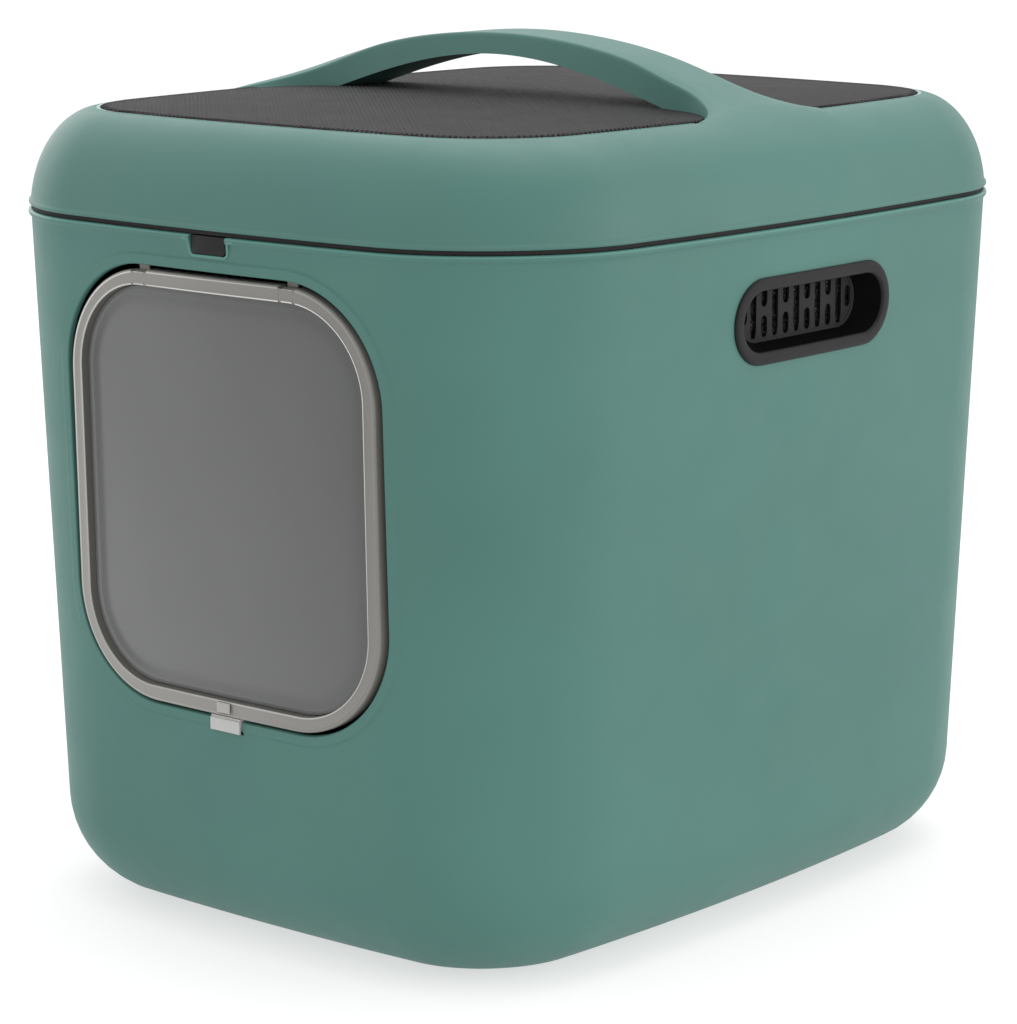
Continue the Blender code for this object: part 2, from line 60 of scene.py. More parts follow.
# Edges either side of the seam: the tub's rim as (height, inset), the hood's lower edge as (inset, height)
RIM_EDGE_ROWS = (
    (0.3690, 0), (0.3706, 0), (0.3712, -0.0003), (0.3719, -0.0011), (0.3727, -0.0015),
    (0.3738, -0.0015), (0.3744, -0.0012), (0.3749, -0.0005), (0.3750, 0.0003),
    (0.3750, 0.0020), (0.3746, 0.0025), (0.3700, 0.0025),
)
HOOD_EDGE_ROWS = (
    (0.0029, 0.3780), (0.0004, 0.3778), (0.0001, 0.3775), (-0.0005, 0.3775), (-0.0010, 0.3779),
    (-0.0012, 0.3786), (-0.0009, 0.3796), (-0.0002, 0.3801), (0.0, 0.3806),
)
# Painted highlight: the rim's bead gets a lighter green between these heights.
PAINTED_BEAD_BOTTOM, PAINTED_BEAD_TOP = 0.3740, 0.37498  # the lighter line along the rim's bead

# Door opening and flap: half width, low, high, corner radius
DOOR = (0.1100, 0.1250, 0.3565, 0.0600)
FLAP = (0.1062, 0.1266, 0.3540, 0.0572)
FLAP_INNER = (0.0985, 0.1350, 0.3455, 0.0470)
FLAP_DEPTH, PANEL_SETBACK, PANE_THICK = 0.0083, 0.0046, 0.0020
RAISED = 0.0008  # border round the door
KNUCKLE_X, KNUCKLE_HALF, KNUCKLE_R, KNUCKLE_BORE = 0.0518, 0.0054, 0.0027, 0.0018
BARREL_HALF, BARREL_R = 0.0035, 0.0028
NOTCH_HALF, NOTCH_BACK, NOTCH_LOW, NOTCH_CREST = 0.0058, -0.2391, 0.3470, 0.3524
GROOVE_X, GROOVE_HALF, GROOVE_DEEP = 0.0046, 0.0010, 0.0005
# Lock: notch in the sill, slot in the flap's rim, as half width, low, high
LOCK_NOTCH = (0.0109, 0.1177, 0.1300)
LOCK_SLOT = (0.0030, 0.1280, 0.1332)
# Latch tab: half width, low end, corner radius, for its notch, its bead and itself
LATCH_NOTCH = (0.0125, 0.3649, 0.0026)
LATCH_BEAD = (0.0132, 0.3643, 0.0030)
LATCH_TAB = (0.0118, 0.3654, 0.0022)
# Cutters start well in front of the wall and end well behind it
CUT_FRONT, CUT_BACK = -0.26, -0.22

# Lid shoulder, a superellipse in section
DOME_IN, DOME_UP, DOME_POWER = 0.0362, 0.0509, 1.876
MAT_CROWN = 0.0037
MAT_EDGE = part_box("top_mat")[1][2] - MAT_CROWN - 0.0001
TOOTH_PITCH = 0.0031
RING_X = 0.1630  # where the handle's feet reach the edge of the mat's opening
HANDLE_TOP = (
    (0.0, 0.4642), (0.04, 0.4621), (0.08, 0.4560), (0.12, 0.4458), (0.15, 0.4364), (0.1638, 0.4318),
)
HANDLE_FRONT, HANDLE_REAR = -0.0168, 0.0207
FOOT_FRONT, FOOT_REAR = -0.0195, 0.0207
ARCH_END, ARCH_HIGH, ARCH_DROP = 0.119, 0.4528, 0.0245
FLARE_X, FLARE_REACH, FLARE_WIDTH = 0.1245, 0.0400, 0.0500
LIP = 0.0018  # flat lip of the lid round the mat
FOOT_BASE = 0.4256
FOOT_TIP = 0.1850  # where the feet have sunk into the shoulder
LINER_OUT, LINER_IN = 0.0033, 0.0053  # the liner's two skins below the hood's
HINGE_X, HINGE_Y, HINGE_Z, HINGE_R, HINGE_BORE = 0.085, 0.2450, 0.3764, 0.0032, 0.00175
HINGE_HALF, HINGE_ROUND, EAR_GAP, EAR_LONG = 0.0070, 0.0004, 0.0004, 0.0080

# Grips
GRIP_Y, GRIP_Z, GRIP_HALF, GRIP_RISE = 0.0020, 0.3280, 0.06835, 0.0226
GRIP_SHAPE = (GRIP_HALF, GRIP_Z - GRIP_RISE, GRIP_Z + GRIP_RISE, GRIP_RISE - 0.0001)
GRIP_FLOOR, GRIP_BACK = -0.0116, -0.0128
PLATE_Z, PLATE_HALF, PLATE_RISE = 0.3300, 0.0511, 0.0151
PLATE_SHAPE = (PLATE_HALF, PLATE_Z - PLATE_RISE, PLATE_Z + PLATE_RISE, PLATE_RISE - 0.0001)
GRID_Z, GRID_PITCH, GRID_END, GRID_SLOT = 0.3306, 0.00944, 0.0459, 0.0052
GRID_TALL, GRID_SHORT, GRID_LIFT = 0.0272, 0.0113, 0.00795


# ---- meshes
def finish_mesh(name, mesh, look, sharp=32):
    """Make an object of a bmesh, smooth but for its sharp edges."""
    bmesh.ops.remove_doubles(mesh, verts=mesh.verts, dist=1e-6)
    bmesh.ops.recalc_face_normals(mesh, faces=mesh.faces)
    data = bpy.data.meshes.new(name)
    mesh.to_mesh(data)
    mesh.free()
    data.shade_smooth()
    data.set_sharp_from_angle(angle=math.radians(sharp))
    made = bpy.data.objects.new(name, data)
    bpy.context.scene.collection.objects.link(made)
    if look is not None:
        data.materials.append(look)
    return made


def piece(obj, body, slot, *nodes):
    """Say what a finished object rides on and stands for. The slot is not used."""
    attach(obj, body)
    if nodes:
        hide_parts(*nodes)
    return obj


def skin(mesh, low, high, closed=True):
    """Quads between two rows of vertices."""
    count = len(low) if closed else len(low) - 1
    for i in range(count):
        j = (i + 1) % len(low)
        corners = [low[i], low[j], high[j], high[i]]
        corners = [v for k, v in enumerate(corners) if v is not corners[k - 1]]
        if len(corners) > 2 and mesh.faces.get(corners) is None:
            mesh.faces.new(corners)


def skins(mesh, rows, closed=True):
    """Skin every row to the next."""
    for low, high in zip(rows, rows[1:]):
        skin(mesh, low, high, closed)


def loft(name, rings, look=None, closed=False, sharp=32):
    """Skin a row of rings and cap its ends, or join the last ring to the first."""
    mesh = bmesh.new()
    rows = [[mesh.verts.new(point) for point in ring] for ring in rings]
    skins(mesh, rows)
    if closed:
        skin(mesh, rows[-1], rows[0])
    else:
        mesh.faces.new(rows[0])
        mesh.faces.new(rows[-1])
    return finish_mesh(name, mesh, look, sharp)


def block(name, low, high, look=None, bevel=0.0):
    """A box between two corners."""
    mesh = bmesh.new()
    bmesh.ops.create_cube(mesh, size=1.0)
    for vertex in mesh.verts:
        vertex.co = [a + (b - a) * (c + 0.5) for a, b, c in zip(low, high, vertex.co)]
    if bevel:
        bmesh.ops.bevel(mesh, geom=mesh.edges[:], offset=bevel, segments=3, affect="EDGES", profile=0.5)
    return finish_mesh(name, mesh, look)


def rod(name, x_low, x_high, y, z, radius, look=None, chamfer=0.0, sides=32):
    """A round bar along X."""
    rings, small = [], radius - chamfer
    turns = [2 * math.pi * i / sides for i in range(sides)]
    for x, r in ((x_low, small), (x_low + chamfer, radius), (x_high - chamfer, radius), (x_high, small)):
        rings.append([(x, y + r * math.cos(t), z + r * math.sin(t)) for t in turns])
    return loft(name, rings, look)


def settle(obj, sharp=32):
    """Apply an object's modifiers."""
    view = bpy.context.evaluated_depsgraph_get()
    data = bpy.data.meshes.new_from_object(obj.evaluated_get(view))
    obj.modifiers.clear()
    obj.data = data
    data.shade_smooth()
    data.set_sharp_from_angle(angle=math.radians(sharp))
    return obj


def boolean(obj, others, operation="DIFFERENCE", sharp=32):
    """Cut others out of an object, or join them to it, and drop them."""
    for other in others:
        modifier = obj.modifiers.new("boolean", "BOOLEAN")
        modifier.operation = operation
        modifier.solver = "EXACT"
        modifier.object = other
    settle(obj, sharp)
    for other in others:
        bpy.data.objects.remove(other, do_unlink=True)
    return obj


def hermite(points, x):
    """A smooth curve through points given in order of x."""
    last = len(points) - 1
    i = max(k for k in range(last) if points[k][0] <= x or k == 0)

    def slope(k):
        (x0, y0), (x1, y1) = points[max(k - 1, 0)], points[min(k + 1, last)]
        return 0.0 if k == 0 else (y1 - y0) / (x1 - x0)

    (x0, y0), (x1, y1) = points[i], points[i + 1]
    width = x1 - x0
    t = (x - x0) / width
    rest = 1 - t
    value = y0 * (1 + 2 * t) * rest * rest + y1 * (3 - 2 * t) * t * t
    return value + slope(i) * width * t * rest * rest - slope(i + 1) * width * t * t * rest


# ---- plan of the box
def side_columns(side, count):
    """Columns along a straight side, as (side, fixed distance, share of the straight half)."""
    return [(side, 0.0, -1 + 2 * i / count) for i in range(count)]


def corner_columns(corner, count):
    """Columns round a corner, as (corner, 0, share of its quarter turn)."""
    return [(corner, 0.0, i / count) for i in range(count)]


def round_columns(side, end, corner):
    """Columns all the way round the box, so many to each side, end and corner."""
    columns = []
    for k, (where, count) in enumerate((("right", side), ("rear", end), ("left", side), ("front", end))):
        columns += side_columns(where, count) + corner_columns(k, corner)
    return columns


def plan_point(column, half_x, half_y, radius, end_bow):
    """A point of the box's plan. Sides run right, rear, left, front, with a corner after each."""
    where, fixed, share = column
    if where in ("right", "left"):
        sign = 1 if where == "right" else -1
        x, y = sign * half_x, sign * (fixed + share * (half_y - radius))
    elif where in ("rear", "front"):
        sign = 1 if where == "rear" else -1
        x, y = -sign * (fixed + share * (half_x - radius)), sign * half_y
    else:
        turn = (where + share) * math.pi / 2
        centre_x = (half_x - radius) * (1 if where in (0, 3) else -1)
        centre_y = (half_y - radius) * (1 if where in (0, 1) else -1)
        x, y = centre_x + radius * math.cos(turn), centre_y + radius * math.sin(turn)
    bow_x = 1 - SIDE_BOW * (y / half_y) ** 2
    bow_y = 1 - end_bow * (x / half_x) ** 2
    return x * bow_x, y * bow_y


def tub_plan(z, inset):
    """Half width, half length, corner radius and end bow at one height."""
    share = z / SEAM_Z
    half_x, half_y, radius, bow = [a + (b - a) * share for a, b in zip(BASE_PLAN, SEAM_PLAN)]
    return half_x - inset, half_y - inset, radius - inset, bow


def tub_front(x, z, inset=0.0):
    """Y of the tub's front wall."""
    half_x, half_y, radius, bow = tub_plan(z, inset)
    flat_x = x
    y = -half_y
    for _ in range(8):
        over = abs(flat_x) - (half_x - radius)
        y = -half_y if over <= 0 else -(half_y - radius) - math.sqrt(max(radius**2 - over**2, 0))
        flat_x = x / (1 - SIDE_BOW * (y / half_y) ** 2)
    return y * (1 - bow * (flat_x / half_x) ** 2)


def tub_side(y, z):
    """X of the tub's right wall."""
    half_x, half_y, _radius, _bow = tub_plan(z, 0.0)
    return half_x * (1 - SIDE_BOW * (y / half_y) ** 2)


def flap_front(x, z):
    """Y of the flap's bowed front."""
    return -(0.2358 + 0.0224 * (z - 0.130)) + 0.27 * x * x


def lid_point(column, inset, z):
    half_x, half_y, radius, bow = SEAM_PLAN
    x, y = plan_point(column, half_x - inset, half_y - inset, radius - inset, bow)
    return (x, y, z)


def dome_point(turn, depth=0.0):
    """Inset and height on the lid's shoulder, depth below its skin."""
    across = math.cos(turn) ** (2 / DOME_POWER)
    up = math.sin(turn) ** (2 / DOME_POWER)
    normal_in = across ** (DOME_POWER - 1) / DOME_IN
    normal_down = up ** (DOME_POWER - 1) / DOME_UP
    length = math.hypot(normal_in, normal_down)
    inset = DOME_IN * (1 - across) + depth * normal_in / length
    return inset, SEAM_Z + DOME_UP * up - depth * normal_down / length


# ---- rounded rectangles on a wall
def outline_point(shape, portion, t, offset=0.0):
    """(x, z) on a rounded rectangle, whose portions run bottom, right, top, left, from one corner's middle
    to the next one's."""
    half, low, high, radius = shape
    middle, rise = (low + high) / 2, (high - low) / 2
    along, across = (half, rise) if portion in (0, 2) else (rise, half)
    straight, arc = 2 * (along - radius), radius * math.pi / 4
    distance = t * (straight + 2 * arc) - arc
    if distance < 0:
        turn = distance / radius
        u = -(along - radius) + (radius + offset) * math.sin(turn)
        v = (across - radius) + (radius + offset) * math.cos(turn)
    elif distance > straight:
        turn = (distance - straight) / radius
        u = (along - radius) + (radius + offset) * math.sin(turn)
        v = (across - radius) + (radius + offset) * math.cos(turn)
    else:
        u, v = distance - (along - radius), across + offset
    x, z = {0: (u, -v), 1: (v, u), 2: (-u, v), 3: (-v, -u)}[portion]
    return x, middle + z


def outline(shape, offset=0.0, steps=60):
    return [outline_point(shape, k, i / steps, offset) for k in range(4) for i in range(steps)]


# ---- materials
def nodes_of(name):
    """A new material, its node tree and its shader."""
    made = bpy.data.materials.new(name)
    made.use_nodes = True
    tree = made.node_tree
    return made, tree, tree.nodes["Principled BSDF"]


def feed(tree, node, **inputs):
    """Give a node's inputs values or links. Underscores stand for the spaces in their names."""
    for name, value in inputs.items():
        target = node.inputs[name.replace("_", " ")]
        if isinstance(value, bpy.types.NodeSocket):
            tree.links.new(value, target)
        else:
            target.default_value = value


def object_place(tree):
    return tree.nodes.new("ShaderNodeTexCoord").outputs["Object"]


def multiply(tree, first, second):
    made = tree.nodes.new("ShaderNodeMath")
    made.operation = "MULTIPLY"
    tree.links.new(first, made.inputs[0])
    tree.links.new(second, made.inputs[1])
    return made.outputs["Value"]


def noise_node(tree, scale, detail=3.0, roughness=0.5, stretch=(1, 1, 1)):
    mapping = tree.nodes.new("ShaderNodeMapping")
    feed(tree, mapping, Vector=object_place(tree), Scale=stretch)
    made = tree.nodes.new("ShaderNodeTexNoise")
    feed(tree, made, Vector=mapping.outputs["Vector"], Scale=scale, Detail=detail, Roughness=roughness)
    return made.outputs["Fac"]


def ranged(tree, source, low, high, source_low=0.3, source_high=0.7):
    made = tree.nodes.new("ShaderNodeMapRange")
    feed(tree, made, Value=source, From_Min=source_low, From_Max=source_high, To_Min=low, To_Max=high)
    return made.outputs["Result"]


def blend_colours(tree, factor, first, second):
    made = tree.nodes.new("ShaderNodeMix")
    made.data_type = "RGBA"
    for socket, value in (("A", first), ("B", second)):
        target = [i for i in made.inputs if i.name == socket and i.type == "RGBA"][0]
        if isinstance(value, tuple):
            target.default_value = (*value, 1.0)
        else:
            tree.links.new(value, target)
    tree.links.new(factor, made.inputs["Factor"])
    return [o for o in made.outputs if o.type == "RGBA"][0]


def bump(tree, shader, height, strength, distance, below=None):
    made = tree.nodes.new("ShaderNodeBump")
    feed(tree, made, Strength=strength, Distance=distance, Height=height)
    if below is not None:
        feed(tree, made, Normal=below)
    feed(tree, shader, Normal=made.outputs["Normal"])
    return made.outputs["Normal"]


def plastic(name, colour, rough, variation=0.06, grain=0.05, specular=0.5):
    """Moulded plastic: slow tone changes, a fine spark-eroded grain and slightly uneven gloss."""
    made, tree, shader = nodes_of(name)
    slow = noise_node(tree, 7.0, 2.0)
    fine = noise_node(tree, 1500.0, 2.0, 0.6)
    flow = noise_node(tree, 30.0, 4.0, 0.6)
    darker = tuple(c * (1 - variation) for c in colour)
    lighter = tuple(c * (1 + variation) for c in colour)
    tone = blend_colours(tree, ranged(tree, slow, 0, 1), darker, lighter)
    speck = blend_colours(tree, ranged(tree, fine, 0.0, 0.12), tone, tuple(c * 0.7 for c in colour))
    gloss = ranged(tree, flow, rough - 0.04, rough + 0.04)
    feed(tree, shader, Base_Color=speck, Roughness=gloss, Specular_IOR_Level=specular)
    wave = bump(tree, shader, flow, 0.25, 0.0002)
    bump(tree, shader, fine, grain * 4, 0.00006, wave)
    return made


def smoked(name, colour, rough, clear=0.0, painted_shading=(1.0, 1.0, 1.0)):
    """Smoked plastic, cloudy inside and glossy outside. Painted shading: how much its left, right and top
    are painted lighter or darker, as light falls on them.
    """
    made, tree, shader = nodes_of(name)
    cloud = noise_node(tree, 12.0, 3.0, 0.55)
    scuff = noise_node(tree, 60.0, 4.0, 0.6)
    darker, lighter = tuple(c * 0.96 for c in colour), tuple(c * 1.04 for c in colour)
    tone = blend_colours(tree, ranged(tree, cloud, 0, 1), darker, lighter)
    axes = tree.nodes.new("ShaderNodeSeparateXYZ")
    feed(tree, axes, Vector=object_place(tree))
    left, right, top = painted_shading
    # Painted light and shade: the colour is scaled from left to right and from bottom to top.
    painted_side_shade = ranged(tree, axes.outputs["X"], left, right, -0.1, 0.1)
    painted_height_shade = ranged(tree, axes.outputs["Z"], 1.0, top, 0.14, 0.34)
    scaled = tree.nodes.new("ShaderNodeVectorMath")
    scaled.operation = "SCALE"
    feed(tree, scaled, Vector=tone, Scale=multiply(tree, painted_side_shade, painted_height_shade))
    gloss = ranged(tree, scuff, rough - 0.02, rough + 0.03)
    feed(tree, shader, Base_Color=scaled.outputs["Vector"], Roughness=gloss)
    feed(tree, shader, Transmission_Weight=clear, IOR=1.5)
    bump(tree, shader, noise_node(tree, 45.0, 2.0), 0.08, 0.0002)
    return made


def woven(name, dark, light):
    """Rubber with a fine diagonal weave pressed into it."""
    made, tree, shader = nodes_of(name)
    heights = []
    for turn in (math.radians(45), math.radians(-45)):
        mapping = tree.nodes.new("ShaderNodeMapping")
        feed(tree, mapping, Vector=object_place(tree), Rotation=(0, 0, turn))
        wave = tree.nodes.new("ShaderNodeTexWave")
        wave.wave_type = "BANDS"
        wave.bands_direction = "X"
        feed(tree, wave, Vector=mapping.outputs["Vector"], Scale=WEAVE_SCALE, Distortion=0.0)
        heights.append(wave.outputs["Fac"])
    weave = multiply(tree, *heights)
    worn = noise_node(tree, 40.0, 4.0, 0.6)
    tone = blend_colours(tree, weave, dark, light)
    dusty = blend_colours(tree, ranged(tree, worn, 0.0, 0.15), tone, tuple(c * 1.25 for c in light))
    gloss = ranged(tree, worn, 0.62, 0.72)
    feed(tree, shader, Base_Color=dusty, Roughness=gloss, Specular_IOR_Level=0.22)
    bump(tree, shader, weave, 1.0, 0.0010)
    return made


def steel(name):
    """Steel brushed round the pin."""
    made, tree, shader = nodes_of(name)
    brushed = noise_node(tree, 400.0, 3.0, 0.6, (0.02, 1.0, 1.0))
    tone = blend_colours(tree, brushed, (0.50, 0.50, 0.50), (0.66, 0.66, 0.65))
    feed(tree, shader, Base_Color=tone, Roughness=ranged(tree, brushed, 0.25, 0.42), Metallic=1.0)
    bump(tree, shader, brushed, 0.2, 0.00005)
    return made


def level_band(obj, look, low, high):
    """Give the faces centred between two heights their own look."""
    obj.data.materials.append(look)
    for face in obj.data.polygons:
        if low < face.center.z < high:
            face.material_index = len(obj.data.materials) - 1


def band(obj, looks, count):
    """Give each row of quads of a lofted object its own look."""
    slots = [obj.data.materials[0]]
    for look in looks.values():
        if look not in slots:
            slots.append(look)
            obj.data.materials.append(look)
    for face in obj.data.polygons:
        look = looks.get(face.index // count)
        if look is not None:
            face.material_index = slots.index(look)


def granules(name):
    """Carbon lumps with rare glints, painted as bright specks in the colour."""
    made, tree, shader = nodes_of(name)
    cells = tree.nodes.new("ShaderNodeTexVoronoi")
    feed(tree, cells, Vector=object_place(tree), Scale=620.0)
    lumps = cells.outputs["Distance"]
    tone = blend_colours(tree, lumps, (0.006, 0.006, 0.0062), (0.001, 0.001, 0.001))
    # Painted highlight: rare bright specks stand for glints on the lumps.
    painted_glint = ranged(tree, noise_node(tree, 1700.0, 1.0), 0.0, 1.0, 0.70, 0.74)
    painted_glinting = blend_colours(tree, painted_glint, tone, (0.30, 0.30, 0.31))
    gloss = ranged(tree, lumps, 0.35, 0.8, 0.0, 1.0)
    feed(tree, shader, Base_Color=painted_glinting, Roughness=gloss, Specular_IOR_Level=0.10)
    bump(tree, shader, lumps, 0.8, 0.0006)
    return made


WEAVE_SCALE = 143.0  # a weave 2.2 mm across
TUB_GREEN = plastic("tub green", (0.0555, 0.161, 0.136), 0.54, specular=0.42)
LID_GREEN = plastic("lid green", (0.052, 0.152, 0.128), 0.5, specular=0.46)
# Painted highlight green for the beads.
BEAD_PAINTED_HIGHLIGHT = plastic("bead painted highlight", (0.074, 0.214, 0.181), 0.4, specular=0.46)
# Painted highlight: a light green for the lip round the mat's opening.
LIP_PAINTED_HIGHLIGHT = plastic("lid lip painted highlight", (0.22, 0.36, 0.33), 0.35)
DARK = plastic("dark plastic", (0.0115, 0.0105, 0.0109), 0.5, variation=0.08, grain=0.08, specular=0.19)
# Painted shade: near black for the shadowed wall inside the grip pocket.
DEEP_SHADE = plastic("painted hollow shade", (0.0022, 0.0022, 0.0022), 0.7, variation=0.08, grain=0.08, specular=0.03)
LATCH = plastic("latch plastic", (0.012, 0.0105, 0.0108), 0.45, variation=0.08, grain=0.06, specular=0.2)
RUBBER = woven("mat weave", (0.001, 0.001, 0.001), (0.058, 0.057, 0.058))
# Painted shade: the rim's colour darkens towards the right and the top.
RIM = smoked("flap rim", (0.285, 0.276, 0.256), 0.3, painted_shading=(0.92, 0.70, 0.86))
# Painted highlight along the rim's outer top edge, lightest at the top left and fading to the right.
RIM_EDGE_HIGHLIGHT = smoked("flap rim edge painted highlight", (0.34, 0.335, 0.32), 0.2, painted_shading=(1.1, 0.45, 1.5))
# Painted highlight on the rim's inner lip, brightest towards the top.
RIM_LIP_HIGHLIGHT = smoked("flap rim lip painted highlight", (0.40, 0.40, 0.385), 0.2, painted_shading=(0.75, 1.1, 1.55))
# Painted shade on the rim's inner wall, down to the pane.
RIM_WALL_SHADE = smoked("flap rim wall painted shade", (0.105, 0.101, 0.092), 0.3)
# Painted shade: the pane darkens towards the right and the top.
SMOKE = smoked("smoked flap", (0.149, 0.153, 0.151), 0.36, painted_shading=(1.0, 0.64, 0.78))
CLEAR = smoked("clear plastic", (0.55, 0.55, 0.54), 0.14, clear=0.25)
KNOB = smoked("clear knob", (0.37, 0.365, 0.35), 0.12, clear=0.1)
SEAM = plastic("seam shadow", (0.017, 0.017, 0.0165), 0.7, variation=0.08, grain=0.05, specular=0.2)
CARBON = granules("active carbon")
STEEL = steel("pin steel")


# ---- tub
def make_tub():
    """Outer and inner skins on one grid, with a patch round the door that follows its outline."""
    columns = side_columns("right", 40) + corner_columns(0, 20) + side_columns("rear", 30)
    columns += corner_columns(1, 20) + side_columns("left", 40)
    split = 0.80
    columns += [(2, 0.0, split * i / 16) for i in range(16)]
    first = len(columns)
    columns += [(2, 0.0, split + (1 - split) * i / 5) for i in range(5)]
    columns += side_columns("front", 46)
    columns += [(3, 0.0, (1 - split) * i / 5) for i in range(5)]
    last = len(columns)
    columns += [(3, 0.0, (1 - split) + split * i / 16) for i in range(16)]
    low_z, high_z, start, rows_between = 0.098, 0.3662, 4, 56
    mesh = bmesh.new()

    def row(z, inset):
        plan = tub_plan(z, inset)
        return [mesh.verts.new((*plan_point(c, *plan), z)) for c in columns]

    def wall_rows(inset):
        heights = [FLOOR_ROUND + (low_z - FLOOR_ROUND) * i / 5 for i in range(1, start + 1)]
        heights += [low_z + (high_z - low_z) * i / rows_between for i in range(rows_between + 1)]
        return [row(z, inset) for z in heights]

    def rounding(radius):
        made = []
        for step in range(13):
            turn = math.radians(7.5 * step)
            along, down = radius * math.sin(turn), radius * math.cos(turn)
            made.append(row(FLOOR_ROUND - down, FLOOR_ROUND - along))
        return made

    def patch(rows, inset, rings):
        """Fill the gap in a skin with rings that turn from the grid into the door's outline."""
        bottom, top = rows[start], rows[start + rows_between]
        across, up = last - first, rows_between
        loop = [(bottom[first + i], 0, i / across) for i in range(across)]
        loop += [(rows[start + i][last], 1, i / up) for i in range(up)]
        loop += [(top[last - i], 2, i / across) for i in range(across)]
        loop += [(rows[start + up - i][first], 3, i / up) for i in range(up)]
        previous = [entry[0] for entry in loop]
        for offset, blend, depth in rings:
            made = []
            for vertex, portion, t in loop:
                x, z = outline_point(DOOR, portion, t, offset)
                x += (vertex.co.x - x) * blend
                z += (vertex.co.z - z) * blend
                made.append(mesh.verts.new((x, tub_front(x, z, inset) + depth, z)))
            skin(mesh, previous, made)
            previous = made
        return previous

    outer, inner = wall_rows(0.0), wall_rows(WALL)
    for rows in (outer, inner):
        for low, high in zip(rows, rows[1:]):
            gap = start <= rows.index(low) < start + rows_between
            for i in range(len(columns)):
                j = (i + 1) % len(columns)
                if gap and first <= i < last:
                    continue
                mesh.faces.new((low[i], low[j], high[j], high[i]))
    border = [(0.0085, 0.66, 0), (0.0085, 0.33, 0), (0.0085, 0, 0), (0.0062, 0, 0)]
    border += [(0.0057, 0, -RAISED * 0.5), (0.0052, 0, -RAISED), (0.0025, 0, -RAISED), (0.0007, 0, -RAISED)]
    border.append((0.0002, 0, -RAISED * 0.4))
    outer_edge = patch(outer, 0.0, border + [(0, 0, 0.0004)])
    inner_edge = patch(inner, WALL, [(0.0085, 0.5, 0), (0.0085, 0, 0), (0.001, 0, 0), (0, 0, -0.0002)])
    skin(mesh, outer_edge, inner_edge)

    for rounded, rows in ((rounding(FLOOR_ROUND), outer), (rounding(FLOOR_ROUND - WALL), inner)):
        mesh.faces.new(rounded[0])
        skins(mesh, rounded + [rows[0]])
    skins(mesh, [outer[-1]] + [row(z, inset) for z, inset in RIM_EDGE_ROWS] + [inner[-1]])
    tub = finish_mesh("tub_shell", mesh, TUB_GREEN)
    # Paint the highlight onto the bead's rows.
    level_band(tub, BEAD_PAINTED_HIGHLIGHT, PAINTED_BEAD_BOTTOM, PAINTED_BEAD_TOP)
    half, low, high = LOCK_NOTCH
    tab = tab_outline(LATCH_NOTCH, 0.39)
    cutters = [
        block("lock notch", (-half, CUT_FRONT, low), (half, CUT_BACK + 0.01, high)),
        loft("latch notch", [[(x, y, z) for x, z in tab] for y in (CUT_FRONT, CUT_BACK)]),
    ]
    for side in (-1, 1):
        hole = outline(GRIP_SHAPE, -0.0040, 12)
        rings = [[(side * x, GRIP_Y + u, z) for u, z in hole] for x in (0.15, 0.25)]
        cutters.append(loft("grip hole", rings))
    boolean(tub, cutters)
    piece(tub, "tub", "tub_plastic", "body_shell")


def tab_outline(shape, high, steps=6):
    """(x, z) down the left of a tab with rounded lower corners, along its bottom and up its right."""
    half, low, radius = shape
    points = [(-half, high)]
    for centre, start in ((-(half - radius), 180), (half - radius, 270)):
        for i in range(steps + 1):
            turn = math.radians(start + 90 * i / steps)
            points.append((centre + radius * math.cos(turn), low + radius + radius * math.sin(turn)))
    return points + [(half, high)]


def make_latch_bead():
    """The bead under the rim runs down round the latch tab's notch."""
    route = tab_outline(LATCH_BEAD, 0.3716)
    route = [(-0.0180, 0.3729), (-0.0150, 0.3727), (-0.0138, 0.3722)] + route[1:-1]
    route += [(0.0138, 0.3722), (0.0150, 0.3727), (0.0180, 0.3729)]
    curve = bpy.data.curves.new("latch bead", "CURVE")
    curve.dimensions = "3D"
    curve.bevel_depth = 0.0009
    curve.bevel_resolution = 4
    curve.use_fill_caps = True
    spline = curve.splines.new("POLY")
    spline.points.add(len(route) - 1)
    for point, (x, z) in zip(spline.points, route):
        out = 0.0008 if z > 0.372 else 0.0
        point.co = (x, tub_front(x, z) + 0.0001 - out, z, 1.0)
    made = bpy.data.objects.new("latch_bead", curve)
    bpy.context.scene.collection.objects.link(made)
    # The latch bead carries the painted highlight green.
    curve.materials.append(BEAD_PAINTED_HIGHLIGHT)
    piece(made, "tub", "tub_plastic")


def make_latch():
    low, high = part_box("lid_latch")
    half, tip, _radius = LATCH_TAB
    shape = tab_outline(LATCH_TAB, high[2])
    rings = []
    for y, shrink in ((high[1], 0.0), (low[1] + 0.0004, 0.0), (low[1] + 0.0001, 0.0002), (low[1], 0.0005)):
        rings.append([(x * (1 - shrink / half), y, max(z, tip + shrink)) for x, z in shape])
    tab = loft("latch_tab", rings, LATCH)
    piece(tab, "latch", "latch_plastic", "lid_latch")


# ---- lid
def flare(x):
    """How far the foot's plan widens: a quarter ellipse towards the lid's edge."""
    far = min(max(abs(x) - FLARE_X, 0) / FLARE_REACH, 0.97)
    return FLARE_WIDTH * (1 - math.sqrt(1 - far**2))


SIDE_STEPS = 12
TOP_STEPS = 24
# Along the handle: how far its front and rear upper edges sink below its middle, and how round its top is
CREST_FRONT = (
    (0.0, 0.0), (0.085, 0.0002), (0.115, 0.0022), (0.135, 0.0031), (0.150, 0.0036), (0.163, 0.0041),
)
CREST_REAR = (
    (0.0, 0.0), (0.085, 0.0001), (0.115, 0.0006), (0.135, 0.0014), (0.150, 0.0028), (0.163, 0.0041),
)
CROWN = ((0.0, 7.0), (0.100, 6.0), (0.135, 4.0), (0.163, 2.2))


